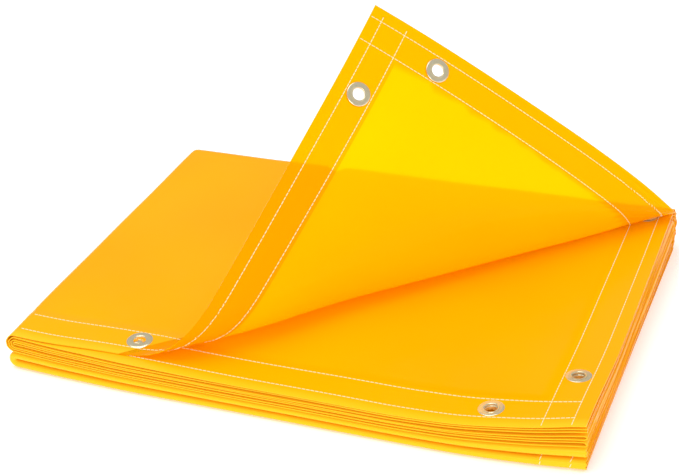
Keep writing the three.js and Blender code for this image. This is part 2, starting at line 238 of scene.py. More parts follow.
def rays_at(share, beta):
    """Rays at these angles from the crease, for these shares of the full curl."""
    low, part = table_place(share, EASE_STEPS)
    left, side = table_place(beta / CREASE_ANGLE, CONE_STEPS - 1)
    first = RAYS[low, left] * (1 - side) + RAYS[low, left + 1] * side
    second = RAYS[low + 1, left] * (1 - side) + RAYS[low + 1, left + 1] * side
    ray = first * (1 - part) + second * part
    return ray / np.linalg.norm(ray, axis=-1, keepdims=True)


def peeled(x, y):
    """Where a point of the flat corner lies once it is peeled back."""
    x, y = np.broadcast_arrays(np.asarray(x, float), np.asarray(y, float))
    depth = np.maximum(Y_BACK - y, 1e-6)
    away = np.arctan2(X_MAX - x, depth)
    beta = CREASE_ANGLE - away
    per_depth = 1 / np.cos(away)
    point = np.zeros(x.shape + (3,)) + APEX
    eased = np.minimum(depth, EASE_TO)
    for i in range(PATH_STEPS):
        share = smooth(eased * (i + 0.5) / PATH_STEPS / EASE_TO)
        point = point + rays_at(share, beta) * (eased / PATH_STEPS * per_depth)[..., None]
    full = rays_at(np.ones(x.shape), beta)
    point = point + full * ((depth - eased) * per_depth)[..., None]
    left, side = table_place(beta / CREASE_ANGLE, CONE_STEPS - 1)
    normal = RAY_NORMALS[left] * (1 - side) + RAY_NORMALS[left + 1] * side
    along = np.clip(depth / DEPTH, 0, 1)
    belly = BOW * 4 * along**BOW_POWER * (1 - along) * smooth(beta / (BOW_FULL_AT * CREASE_ANGLE))
    return settled(point + normal * belly[..., None])


# ---- meshes ----
def all_off():
    bpy.ops.object.select_all(action="DESELECT")


def to_scene(name, data):
    made = bpy.data.objects.new(name, data)
    bpy.context.scene.collection.objects.link(made)
    return made


def link(name, vertices, faces, material, smooth_angle=35):
    mesh = bpy.data.meshes.new(name)
    mesh.from_pydata([tuple(v) for v in vertices], [], [tuple(f) for f in faces])
    mesh.update()
    piece = to_scene(name, mesh)
    mesh.materials.append(material)
    all_off()
    piece.select_set(True)
    bpy.context.view_layer.objects.active = piece
    bpy.ops.object.shade_smooth_by_angle(angle=math.radians(smooth_angle))
    piece.select_set(False)
    return piece


def paint(piece, hem, edge, flat):
    """The sheet's marks: its hems, the painted light at its thin edges, and each point's place on the
    flat curtain.
    """
    mesh = piece.data
    for name, values in (("hem", hem), ("edge", edge)):
        attribute = mesh.attributes.new(name, "FLOAT", "POINT")
        attribute.data.foreach_set("value", np.asarray(values, np.float32).ravel())
    layer = mesh.uv_layers.new(name="flat")
    corner = np.empty(len(mesh.loops), np.int32)
    mesh.loops.foreach_get("vertex_index", corner)
    layer.data.foreach_set("uv", np.asarray(flat, np.float32)[corner].ravel())


def grid_normals(p):
    across = np.gradient(p, axis=0)
    along = np.gradient(p, axis=1)
    n = np.cross(across, along)
    return n / np.maximum(np.linalg.norm(n, axis=-1, keepdims=True), 1e-12)


class Grids:
    """Gathers grids of points and makes them one closed piece of sheet."""

    def __init__(self):
        self.vertices = []
        self.faces = []
        self.hem = []
        # the painted light at the sheet's thin edges
        self.edge = []
        self.flat = []
        self.area = 0.0  # on the flat curtain
        self.folded_area = 0.0  # as it lies

    def add(self, p, flat, hem, edge, open_cells=None):
        n, m = p.shape[:2]
        normal = grid_normals(p)
        half = (SHEET_T + (HEM_T - SHEET_T) * hem)[..., None] / 2
        start = sum(len(v) for v in self.vertices)
        self.vertices += [(p + normal * half).reshape(-1, 3), (p - normal * half).reshape(-1, 3)]
        self.hem += [hem.ravel(), hem.ravel()]
        self.edge += [edge.ravel(), edge.ravel()]
        self.flat += [flat.reshape(-1, 2), flat.reshape(-1, 2)]
        kept = np.ones((n - 1, m - 1), bool) if open_cells is None else ~open_cells
        index = np.arange(n * m).reshape(n, m)
        quads = np.stack([index[:-1, :-1], index[1:, :-1], index[1:, 1:], index[:-1, 1:]], -1)[kept]
        self.faces += (quads + start).tolist()
        self.faces += (quads[:, ::-1] + start + n * m).tolist()
        edges = np.concatenate([quads[:, [i, (i + 1) % 4]] for i in range(4)])
        code = edges[:, 0] * n * m + edges[:, 1]
        back = edges[:, 1] * n * m + edges[:, 0]
        for a, b in edges[~np.isin(code, back)]:
            self.faces.append([b + start, a + start, a + start + n * m, b + start + n * m])
        across = flat[1:, 1:] - flat[:-1, :-1]
        back = flat[:-1, 1:] - flat[1:, :-1]
        doubled = np.abs(across[..., 0] * back[..., 1] - across[..., 1] * back[..., 0])
        self.area += float(doubled[kept].sum() / 2)
        side_a = p[1:, :-1] - p[:-1, :-1]
        side_b = p[:-1, 1:] - p[:-1, :-1]
        self.folded_area += float(np.linalg.norm(np.cross(side_a, side_b), axis=-1)[kept].sum())

    def piece(self, name, material):
        made = link(name, np.concatenate(self.vertices), self.faces, material)
        paint(made, *(np.concatenate(marks) for marks in (self.hem, self.edge, self.flat)))
        return made


EDGE_LIGHT_REACH = 15 * MM  # how far in from a near edge the vinyl is painted paler, as painted light shining through the thin edges
RIGHT_EDGE_LIGHT = 0.05  # a right edge gets this share of that painted edge light, over half that width


# Painted light: near the near edge, and a little near the right edge, the vinyl is painted paler for the
# light that shines through its thin edges.
def edge_light_mask(x, y):
    near = 1 - smooth((y - Y_MIN) / EDGE_LIGHT_REACH)
    right = smooth((x - (X_MAX - EDGE_LIGHT_REACH / 2)) / (EDGE_LIGHT_REACH / 2))
    return np.maximum(near, RIGHT_EDGE_LIGHT * right)


END_CLEAR = 0.1 * MM  # a mark this close to an end needs no line of its own
MARK_CLEAR = 0.35  # share of a step that a plain line keeps from a mark


def lines(start, end, step, marks=()):
    """Grid lines from start to end, with a line at each mark."""
    low, high = min(start, end), max(start, end)
    marks = sorted(m for m in marks if low + END_CLEAR < m < high - END_CLEAR)
    count = max(2, int(round((high - low) / step)) + 1)
    plain = np.linspace(low, high, count)
    kept = [v for v in plain[1:-1] if all(abs(v - m) > MARK_CLEAR * step for m in marks)]
    found = np.array(sorted([low, high] + kept + marks))
    return found if start < end else found[::-1]


# ---- grommets: where they are ----
def centre(node):
    low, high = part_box(node)
    return (low + high) / 2


GROMMET_INSET = 27.5 * MM
SIDE_X = X_MAX - GROMMET_INSET
# The two on the peeled corner are placed on the flat sheet, and carried from there by its curl.
PEELED_GROMMETS = {
    "eyelet_layer_1_near_1": (X_MAX - 95.25 * MM, Y_MIN + GROMMET_INSET),
    "eyelet_layer_1_side_1": (SIDE_X, Y_MIN + 88.9 * MM),
}
CREASE_GROMMET = "eyelet_layer_1_side_2"  # sits at the crease, beside the apex
GROMMETS = []
for node in sorted(frame["nodes"]):
    if node.startswith(("eyelet_layer_", "grommet_layer_")):
        at = centre(node)
        x, y = PEELED_GROMMETS.get(node, (at.x, at.y))
        GROMMETS.append({"name": node, "layer": int(node.split("_")[2]), "x": x, "y": y})


def grommets_on(layers):
    return [g for g in GROMMETS if g["layer"] in layers]


def hole_marks(values):
    return [v + side for v in values for side in (-HOLE_HALF, HOLE_HALF)]


def row_marks(layers):
    """Grid lines on both sides of each row of holes in these layers."""
    return hole_marks(sorted({round(g["y"], 5) for g in grommets_on(layers)}))


def over_hole(x, y, grommet):
    return (np.abs(x - grommet["x"]) < HOLE_HALF) & (np.abs(y - grommet["y"]) < HOLE_HALF)


def middles(values):
    """The middle of each cell of a grid."""
    return (values[:-1, :-1] + values[1:, 1:]) / 2


# ---- materials ----
def noise(nodes, scale, detail, roughness=0.5):
    made = nodes.new("ShaderNodeTexNoise")
    made.inputs["Scale"].default_value = scale
    made.inputs["Detail"].default_value = detail
    made.inputs["Roughness"].default_value = roughness
    return made


def ramp(nodes, low, high, low_colour, high_colour):
    made = nodes.new("ShaderNodeValToRGB")
    made.color_ramp.elements[0].position = low
    made.color_ramp.elements[0].color = low_colour
    made.color_ramp.elements[1].position = high
    made.color_ramp.elements[1].color = high_colour
    return made


def times(nodes, links, value, factor):
    made = nodes.new("ShaderNodeMath")
    made.operation = "MULTIPLY"
    made.inputs[1].default_value = factor
    links.new(value, made.inputs[0])
    return made.outputs[0]


def map_range(nodes, links, value, from_range, to_range):
    made = nodes.new("ShaderNodeMapRange")
    made.inputs["From Min"].default_value, made.inputs["From Max"].default_value = from_range
    made.inputs["To Min"].default_value, made.inputs["To Max"].default_value = to_range
    links.new(value, made.inputs["Value"])
    return made.outputs["Result"]


def towards(nodes, links, colour, target, share):
    """Mixes a colour with a plain one."""
    made = nodes.new("ShaderNodeMix")
    made.data_type = "RGBA"
    made.inputs["B"].default_value = target
    links.new(share, made.inputs["Factor"])
    links.new(colour, made.inputs["A"])
    return made.outputs["Result"]


def marked(nodes, name):
    """Reads one of the sheet's marks: its hem, or the painted light at its edges."""
    made = nodes.new("ShaderNodeAttribute")
    made.attribute_name = name
    return made.outputs["Fac"]


def emboss(nodes, links, shader, height, strength, distance):
    made = nodes.new("ShaderNodeBump")
    made.inputs["Strength"].default_value = strength
    made.inputs["Distance"].default_value = distance
    links.new(height, made.inputs["Height"])
    links.new(made.outputs["Normal"], shader.inputs["Normal"])


DRAG_STRETCH = (1.0, 7.0, 1.0)  # drag lines run along the curtain's length
DRAG_SHARE = 0.12


def film_marks():
    """Soft vinyl film: broad handling waves, fine drag lines and a little haze."""
    group = bpy.data.node_groups.new("film_marks", "ShaderNodeTree")
    group.interface.new_socket("Vector", in_out="INPUT", socket_type="NodeSocketVector")
    wave_size = group.interface.new_socket("Wave Size", in_out="INPUT", socket_type="NodeSocketFloat")
    wave_size.default_value = 14.0
    for title in ("Height", "Haze", "Cloud"):
        group.interface.new_socket(title, in_out="OUTPUT", socket_type="NodeSocketFloat")
    nodes, links = group.nodes, group.links
    enter = nodes.new("NodeGroupInput")
    leave = nodes.new("NodeGroupOutput")
    broad = noise(nodes, 14.0, 2.0)
    links.new(enter.outputs["Vector"], broad.inputs["Vector"])
    links.new(enter.outputs["Wave Size"], broad.inputs["Scale"])
    stretch = nodes.new("ShaderNodeMapping")
    stretch.inputs["Scale"].default_value = DRAG_STRETCH
    links.new(enter.outputs["Vector"], stretch.inputs["Vector"])
    drag = noise(nodes, 60.0, 3.0, 0.6)
    links.new(stretch.outputs["Vector"], drag.inputs["Vector"])
    both = nodes.new("ShaderNodeMath")
    both.operation = "ADD"
    links.new(broad.outputs["Fac"], both.inputs[0])
    links.new(times(nodes, links, drag.outputs["Fac"], DRAG_SHARE), both.inputs[1])
    links.new(both.outputs[0], leave.inputs["Height"])
    for title, settings in (("Haze", (35.0, 4.0, 0.65)), ("Cloud", (5.0, 1.0))):
        made = noise(nodes, *settings)
        links.new(enter.outputs["Vector"], made.inputs["Vector"])
        links.new(made.outputs["Fac"], leave.inputs[title])
    return group


FILM_MARKS = film_marks()


def plain_material(name):
    material = bpy.data.materials.new(name)
    material.use_nodes = True
    nodes, links = material.node_tree.nodes, material.node_tree.links
    return material, nodes, links, nodes["Principled BSDF"]


HAZE_RANGE = (0.3, 0.7)
# Painted light: the colour towards which the edges are paled, and by how much, for the light that shines
# through the thin vinyl there.
EDGE_LIGHT_COLOUR = (1.0, 0.6, 0.02, 1)
EDGE_LIGHT_SHARE = 0.7
VINYL_RELIEF = 1.2 * MM
CLEAR_IOR = 1.12


def vinyl(name, single, single_deep, hemmed, glow, wave_size, bump, rough_range, clear=0.0):
    """Coloured vinyl, clouded between two shades where it is single and plain on the hems.
    Its edges are painted paler for the light that shines through them, and a glow stands for the light
    that it scatters inside."""
    material, nodes, links, shader = plain_material(name)
    place = nodes.new("ShaderNodeUVMap")
    place.uv_map = "flat"
    marks = nodes.new("ShaderNodeGroup")
    marks.node_tree = FILM_MARKS
    marks.inputs["Wave Size"].default_value = wave_size
    links.new(place.outputs["UV"], marks.inputs["Vector"])
    spread = ramp(nodes, 0.35, 0.65, single, single_deep)
    links.new(marks.outputs["Cloud"], spread.inputs["Fac"])
    colour = towards(nodes, links, spread.outputs["Color"], hemmed, marked(nodes, "hem"))
    # painted light: the edges are paled where light would shine through the thin vinyl
    edge = times(nodes, links, marked(nodes, "edge"), EDGE_LIGHT_SHARE)
    colour = towards(nodes, links, colour, EDGE_LIGHT_COLOUR, edge)
    links.new(colour, shader.inputs["Base Color"])
    rough = map_range(nodes, links, marks.outputs["Haze"], HAZE_RANGE, rough_range)
    links.new(rough, shader.inputs["Roughness"])
    emboss(nodes, links, shader, marks.outputs["Height"], bump, VINYL_RELIEF)
    shader.inputs["Specular IOR Level"].default_value = 0.28
    shader.inputs["Specular Tint"].default_value = (1.0, 0.8, 0.25, 1)
    shader.inputs["Emission Strength"].default_value = glow
    links.new(colour, shader.inputs["Emission Color"])
    if clear:
        shader.inputs["Transmission Weight"].default_value = clear
        shader.inputs["IOR"].default_value = CLEAR_IOR
    return material


def clouded(nodes, links, shader, scale, detail, ramp_ends, colours):
    """Colours a material by a fine noise in the object's own space."""
    place = nodes.new("ShaderNodeTexCoord")
    cloud = noise(nodes, scale, detail)
    links.new(place.outputs["Object"], cloud.inputs["Vector"])
    colour = ramp(nodes, *ramp_ends, *colours)
    links.new(cloud.outputs["Fac"], colour.inputs["Fac"])
    links.new(colour.outputs["Color"], shader.inputs["Base Color"])
    return cloud.outputs["Fac"]


def plated_brass():
    material, nodes, links, shader = plain_material("pale_brass")
    tint, worn = (0.95, 0.82, 0.5, 1), (1.0, 0.93, 0.7, 1)
    cloud = clouded(nodes, links, shader, 900.0, 3.0, (0.35, 0.7), (tint, worn))
    rough = map_range(nodes, links, cloud, (0.0, 1.0), (0.1, 0.28))
    links.new(rough, shader.inputs["Roughness"])
    shader.inputs["Metallic"].default_value = 0.7
    emboss(nodes, links, shader, cloud, 0.12, 0.1 * MM)
    return material


def spun_thread():
    material, nodes, links, shader = plain_material("cream_thread")
    shaded, lit = (0.86, 0.72, 0.34, 1), (1.0, 0.93, 0.62, 1)
    twist = clouded(nodes, links, shader, 1600.0, 2.0, (0.3, 0.7), (shaded, lit))
    emboss(nodes, links, shader, twist, 0.4, 0.15 * MM)
    shader.inputs["Roughness"].default_value = 0.75
    shader.inputs["Sheen Weight"].default_value = 0.2
    return material


PILE_VINYL = vinyl(
    "pile_vinyl",
    single=(1.0, 0.42, 0.0, 1),
    single_deep=(0.99, 0.39, 0.0, 1),
    hemmed=(1.0, 0.42, 0.0, 1),
    glow=0.04,
    wave_size=14.0,
    bump=0.3,
    rough_range=(0.14, 0.26),
)
CORNER_VINYL = vinyl(
    "corner_vinyl",
    single=(1.0, 0.6, 0.0, 1),
    single_deep=(1.0, 0.575, 0.0, 1),
    hemmed=(0.93, 0.45, 0.0, 1),
    glow=0.15,
    wave_size=9.0,
    bump=0.1,
    rough_range=(0.06, 0.14),
    clear=0.62,
)
BRASS = plated_brass()
THREAD = spun_thread()


# ---- layers and folds of the upper half ----
BODY_STEP = 14 * MM
FOLD_STEPS = 16
TIGHT_FOLD_STEPS = 8  # for a fold between neighbouring layers
LIP = 3 * MM  # a grid line this far in keeps the near edge crisp
RIGHT_HEM_LINES = [X_MAX - HEM_W - HEM_STEP, X_MAX - HEM_W + HEM_STEP]
NEAR_HEM_LINES = [Y_MIN + HEM_W - HEM_STEP, Y_MIN + HEM_W + HEM_STEP]


def right_hem(x):
    """1 on the right hem, 0 on a single ply."""
    return smooth((x - (X_MAX - HEM_W - HEM_STEP)) / (2 * HEM_STEP))


def hem_mask(x, y, right):
    """1 on the near hem, and on the right hem where there is one; 0 on a single ply."""
    near = 1 - smooth((y - (Y_MIN + HEM_W - HEM_STEP)) / (2 * HEM_STEP))
    return np.maximum(near, right_hem(x)) if right else near


def half_turn(steps):
    """The angles of a fold's inner points."""
    return np.linspace(0, math.pi, steps + 1)[1:-1]


def side_fold(x, start, end, leftward, steps):
    """A side fold's points, as X and height, from one layer's height to the next one's."""
    angle = half_turn(steps)
    drop = (start - end) / 2
    side = -1 if leftward else 1
    return x + side * np.sin(angle) * abs(drop), (start + end) / 2 + np.cos(angle) * drop


def layer_columns(layer, start, end):
    marks = hole_marks([g["x"] for g in grommets_on([layer])])
    if layer <= HEMMED_LAYERS:
        marks += RIGHT_HEM_LINES
    return lines(start, end, BODY_STEP, marks)


CREASE_STEPS = 33
CREASE_CLEAR = 0.01  # share of the way that a plain line keeps from a hole's edge


def crease_shares():
    """Shares of the way from the left folds to the crease, with a line on each side of the hole."""
    holes = [g for g in GROMMETS if g["name"] == "eyelet_layer_1_near_2"]
    marks = [
        (x - X_LEFT) / (crease_x(g["y"]) - X_LEFT) for g in holes for x in hole_marks([g["x"]])
    ]
    plain = np.linspace(0, 1, CREASE_STEPS + 1)
    kept = [share for share in plain if all(abs(share - m) > CREASE_CLEAR for m in marks)]
    return sorted(kept + marks, reverse=True)


def upper_sheet(name, order, stops_at_crease):
    """Four layers of the upper half and the three folds between them, as one sheet.
    Its first layer can stop at the peeled corner's crease."""
    rows = lines(Y_MIN, Y_BACK - ROLL_FLAT, BODY_STEP, NEAR_HEM_LINES + [Y_MIN + LIP] + row_marks(order))
    xs, heights, layer_of = [], [], []
    for i, layer in enumerate(order):
        height = height_of(layer)
        leftward = i % 2 == 0
        right = X_MAX if layer <= HEMMED_LAYERS else X_RIGHT
        start, end = (right, X_LEFT) if leftward else (X_LEFT, right)
        if i == 0 and stops_at_crease:
            columns = [X_LEFT + share * (crease_x(rows) - X_LEFT) for share in crease_shares()]
        else:
            columns = [np.full(rows.shape, x) for x in layer_columns(layer, start, end)]
        xs += columns
        heights += [height] * len(columns)
        layer_of += [layer] * len(columns)
        if i + 1 < len(order):
            following = height_of(order[i + 1])
            steps = FOLD_STEPS if abs(height - following) > 2 * PITCH else TIGHT_FOLD_STEPS
            x_fold, h_fold = side_fold(end, height, following, leftward, steps)
            xs += [np.full(rows.shape, x) for x in x_fold]
            heights += list(h_fold)
            layer_of += [0] * len(x_fold)
    x = np.stack(xs)
    y = np.broadcast_to(rows, x.shape)
    z = Z_SPLIT + np.broadcast_to(np.array(heights)[:, None], x.shape)
    layer_of = np.array(layer_of)
    hem = np.zeros(x.shape)
    for i, layer in enumerate(layer_of):
        hem[i] = hem_mask(x[i], y[i], 1 <= layer <= HEMMED_LAYERS)
    path = np.zeros(x.shape)
    path[1:] = np.cumsum(np.hypot(np.diff(x, axis=0), np.diff(z, axis=0)), axis=0)
    path = path - path[np.argmax(layer_of == 0)]
    x_mid, y_mid = middles(x), middles(y)
    open_cells = np.zeros(x_mid.shape, bool)
    for g in grommets_on(order):
        if g["name"] in PEELED_GROMMETS or g["name"] == CREASE_GROMMET:
            continue
        on_it = (layer_of[:-1] == g["layer"]) & (layer_of[1:] == g["layer"])
        open_cells |= on_it[:, None] & over_hole(x_mid, y_mid, g)
    grids = Grids()
    p = settled(np.stack([x, y, z], -1))
    grids.add(p, np.stack([path, y], -1), hem, edge_light_mask(x, y), open_cells)
    piece = grids.piece(f"upper_{name}_layers", PILE_VINYL)
    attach(piece, "upper_half")
    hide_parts(f"upper_sheet_{name}")


upper_sheet("outer", [1, 8, 7, 2], True)
upper_sheet("inner", [3, 6, 5, 4], False)


# ---- the lower half, one sheet through all eight layers ----
def lengths(points):
    """The length along a line of points, at each of them."""
    return np.concatenate([[0], np.cumsum(np.linalg.norm(np.diff(points, axis=0), axis=-1))])


def unrolled(p):
    """Each point's place on the flat sheet, from the lengths along the grid's first row and column."""
    return np.stack(np.meshgrid(lengths(p[:, 0]), lengths(p[0]), indexing="ij"), -1)


def lower_path():
    """The lower sheet's way across, as (kind, X or angle, side of the right fold).
    It runs right end, left folds, right folds, left folds, right end."""
    low = [("low", x) for x in lines(X_MAX, X_LEFT, BODY_STEP, RIGHT_HEM_LINES + hole_marks([SIDE_X]))]
    high = [("high", x) for x in lines(X_LEFT, X_RIGHT, BODY_STEP)]
    turn = half_turn(FOLD_STEPS)
    path = [(*step, 1.0) for step in low + [("turn", a) for a in turn] + high]
    for a in half_turn(TIGHT_FOLD_STEPS):
        path.append(("high", X_RIGHT + PITCH / 2 * math.sin(a), math.cos(a)))
    back = high[::-1] + [("turn", math.pi - a) for a in turn] + low[::-1]
    return path + [(*step, -1.0) for step in back]


def lower_sheet():
    """Along one way it follows lower_path, and along the other it runs back, near loop, back."""
    lower = range(HALF_LAYERS + 1, 2 * HALF_LAYERS + 1)
    path = lower_path()
    rows = lines(Y_BACK - ROLL_FLAT, Y_NEAR, BODY_STEP, row_marks(lower))
    loop = half_turn(FOLD_STEPS)
    p = np.zeros((len(path), 2 * len(rows) + len(loop), 3))
    hem = np.zeros(p.shape[:2])
    for i, (kind, place, side) in enumerate(path):
        delta = side * PITCH / 2
        depth = np.concatenate([
            np.full(rows.shape, 3 * PITCH + delta),
            2 * PITCH + (PITCH + delta) * np.cos(loop),
            np.full(rows.shape, PITCH - delta),
        ])
        y = np.concatenate([rows, Y_NEAR - (PITCH + delta) * np.sin(loop), rows[::-1]])
        if kind == "low":
            x, h = np.full(y.shape, place), 4 * PITCH + depth
            hem[i] = right_hem(place)
        elif kind == "turn":
            x, h = X_LEFT - depth * math.sin(place), 4 * PITCH + depth * math.cos(place)
        else:
            x, h = np.full(y.shape, place), 4 * PITCH - depth
        p[i] = np.stack([x, y, Z_SPLIT - h], -1)
    middle = middles(p)
    open_cells = np.zeros(middle.shape[:2], bool)
    for g in grommets_on(lower):
        near_it = np.abs(middle[..., 2] - Z_SPLIT - height_of(g["layer"])) < PITCH / 4
        open_cells |= over_hole(middle[..., 0], middle[..., 1], g) & near_it
    grids = Grids()
    grids.add(settled(p), unrolled(p), hem, edge_light_mask(p[..., 0], p[..., 1]), open_cells)
    piece = grids.piece("lower_layers", PILE_VINYL)
    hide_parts("lower_sheet")
    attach(piece, "lower_half")


lower_sheet()


# ---- back folds ----
ROLL_STEPS = 24
WRAP_STEPS = 12
LEAST_ZONE = 0.8 * MM  # least height over which a fold bends


def roll_path(height):
    """Heights and depths of one back fold: a flat strip, half a turn, a flat strip."""
    angle = np.linspace(0, math.pi, ROLL_STEPS + 1)
    flat = np.linspace(-ROLL_FLAT, 0, 4)[:-1]
    y = np.concatenate([Y_BACK + flat, Y_BACK + height * np.sin(angle), (Y_BACK + flat)[::-1]])
    z = np.concatenate([
        np.full(flat.shape, Z_SPLIT + height),
        Z_SPLIT + height * np.cos(angle),
        np.full(flat.shape, Z_SPLIT - height),
    ])
    return y, z


def blend_half(piece, height):
    """Finds the heights round the fold's middle where the upper and the lower half meet, and bakes the
    piece's transform into its mesh.
    """
    ends = settled(np.array([
        [x, Y_BACK, Z_SPLIT + way * height] for x in (X_LEFT, X_MAX) for way in (-1, 1)
    ]))[:, 2]
    low, high = max(ends[0], ends[2]), min(ends[1], ends[3])
    if high - low < LEAST_ZONE:
        low, high = (low + high) / 2 - LEAST_ZONE / 2, (low + high) / 2 + LEAST_ZONE / 2
    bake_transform(piece)


def back_fold(layer):
    height = height_of(layer)
    hemmed = layer <= HEMMED_LAYERS
    right = X_MAX if hemmed else X_RIGHT - WRAP_FLAT
    columns = lines(X_LEFT + WRAP_FLAT, right, BODY_STEP, RIGHT_HEM_LINES if hemmed else [])
    y, z = roll_path(height)
    x = np.broadcast_to(columns[:, None], (len(columns), len(y)))
    hem = right_hem(x) if hemmed else np.zeros(x.shape)
    p = settled(np.stack([x, np.broadcast_to(y, x.shape), np.broadcast_to(z, x.shape)], -1))
    along = np.concatenate([[0], np.cumsum(np.hypot(np.diff(y), np.diff(z)))])
    flat = np.stack([x, np.broadcast_to(along, x.shape)], -1)
    grids = Grids()
    grids.add(p[::-1], flat[::-1], hem[::-1], edge_light_mask(x, np.full(x.shape, Y_BACK))[::-1])
    piece = grids.piece(f"back_roll_{layer}", PILE_VINYL)
    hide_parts(f"back_fold_{layer}")
    blend_half(piece, height)


for layer in range(1, HALF_LAYERS + 1):
    back_fold(layer)


def fold_wraps(name, pairs, leftward):
    """Where side folds go round the back edge, from the upper half to the lower one."""
    grids = Grids()
    angle = np.linspace(0, math.pi, ROLL_STEPS + 1)
    strip = np.linspace(-ROLL_FLAT, 0, 3)[:-1]
    fold = X_LEFT if leftward else X_RIGHT
    inside = fold + WRAP_FLAT if leftward else fold - WRAP_FLAT
    for a, b in pairs:
        upper, lower = height_of(a), height_of(b)
        x_arc, h_arc = side_fold(fold, upper, lower, leftward, WRAP_STEPS)
        xs = np.concatenate([[inside, fold], x_arc, [fold, inside]])
        hs = np.concatenate([[upper] * 2, h_arc, [lower] * 2])
        p = []
        for x, h in zip(xs, hs):
            y = np.concatenate([Y_BACK + strip, Y_BACK + h * np.sin(angle), (Y_BACK + strip)[::-1]])
            z = np.concatenate([np.full(strip.shape, h), h * np.cos(angle), np.full(strip.shape, -h)])
            p.append(np.stack([np.full(y.shape, x), y, Z_SPLIT + z], -1))
        p = np.array(p)
        grids.add(settled(p), unrolled(p), np.zeros(p.shape[:2]), edge_light_mask(p[..., 0], p[..., 1]))
    piece = grids.piece(name, PILE_VINYL)
    blend_half(piece, max(height_of(a) for a, b in pairs))


fold_wraps("left_fold_wraps", [(1, 8), (2, 7), (3, 6), (4, 5)], True)
fold_wraps("right_fold_wraps", [(7, 8), (5, 6)], False)


# ---- the peeled corner's pieces ----
# In degrees from HINGES_FROM; a beta is in radians from the crease. Each curled piece holds one
# hinge line of the frame, and the pieces meet at the splits.
HINGE_DEGREES = (2.2, 4.7, 7.4)
SPLIT_DEGREES = (3.45, 6.05, 10.5)
HINGE_BETAS = [math.radians(b) + (CREASE_ANGLE - HINGES_FROM) for b in HINGE_DEGREES]
SPLIT_BETAS = [math.radians(b) + (CREASE_ANGLE - HINGES_FROM) for b in SPLIT_DEGREES]
SPLIT_BETAS = [0.0] + SPLIT_BETAS + [CREASE_ANGLE]
# Piece i lies across the hinge from body i to body i + 1, and the flap rides on the last.
PEEL_BODIES = ["upper_half", "peel_a", "peel_b", "peel_c"]
PEEL_NAMES = ["corner_curl_1", "corner_curl_2", "corner_curl_3", "corner_flap"]
CURL_STEP_DEGREES = 0.22
FLAP_STEP = math.radians(1.1)
ROW_STEP = 11 * MM
# The last rows crowd together towards the apex, where the curl is tightest.
ROWS_BY_APEX = np.array([25, 20.5, 16.5, 13, 10, 8, 6]) * MM
ROWS_END = 30 * MM


def flat_x(beta, y):
    return X_MAX - (Y_BACK - y) * np.tan(CREASE_ANGLE - beta)


def beta_at(x, y):
    return CREASE_ANGLE - math.atan2(X_MAX - x, Y_BACK - y)


corner_grommets = [g for g in GROMMETS if g["name"] in PEELED_GROMMETS]
corner_marks = NEAR_HEM_LINES + hole_marks([g["y"] for g in corner_grommets])
corner_rows = lines(Y_MIN, Y_BACK - ROWS_END, ROW_STEP, corner_marks)
corner_rows = np.concatenate([corner_rows, Y_BACK - ROWS_BY_APEX])


def attach_corner(piece, i):
    """Piece i of the corner holds hinge line i, and only has its transform baked into its mesh. The last
    one moves with the free end.
    """
    if i == len(HINGE_BETAS):
        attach(piece, PEEL_BODIES[-1])
        return
    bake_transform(piece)


def corner_piece(i):
    low, high = SPLIT_BETAS[i], SPLIT_BETAS[i + 1]
    curled = i < len(HINGE_BETAS)
    if curled:
        steps = int(round(math.degrees(high - low) / CURL_STEP_DEGREES))
        betas = np.linspace(low, high, steps + 1)
    else:
        marks = [beta_at(x, g["y"]) for g in corner_grommets for x in hole_marks([g["x"]])]
        betas = lines(low, high, FLAP_STEP, marks)
    y = np.broadcast_to(corner_rows, (len(betas), len(corner_rows)))
    x = flat_x(betas[:, None], y)
    x_mid, y_mid = middles(x), middles(y)
    open_cells = np.zeros(x_mid.shape, bool)
    if not curled:
        for g in corner_grommets:
            open_cells |= over_hole(x_mid, y_mid, g)
    grids = Grids()
    flat = np.stack([x, y], -1)
    grids.add(peeled(x, y), flat, hem_mask(x, y, True), np.zeros(x.shape), open_cells)
    piece = grids.piece(PEEL_NAMES[i], CORNER_VINYL)
    if curled:
        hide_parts(f"corner_sheet_{i + 1}")
    attach_corner(piece, i)


for i in range(len(PEEL_NAMES)):
    corner_piece(i)


# ---- stitching ----
STITCH = 4.6 * MM
STITCH_GAP = 0.5 * MM
THREAD_R = 0.42 * MM
RING = 6
# A stitch's rings: place along it, height over the sheet in thread radii, size.
STITCH_RINGS = [(-0.5, -0.25, 0.5), (-0.34, 0.25, 1.0), (0.34, 0.25, 1.0), (0.5, -0.25, 0.5)]
PROBE = 0.5 * MM


def surface_frame(place, x, y, dx, dy):
    """Point and normal of a surface, given by place(x, y), and the direction of a row on it."""
    here = place(x, y)
    gx = (place(x + PROBE, y) - place(x - PROBE, y)) / (2 * PROBE)
    gy = (place(x, y + PROBE) - place(x, y - PROBE)) / (2 * PROBE)
    normal = np.cross(gx, gy)
    normal = normal / np.linalg.norm(normal, axis=-1, keepdims=True)
    along = gx * dx + gy * dy
    return here, normal, along / np.linalg.norm(along, axis=-1, keepdims=True)


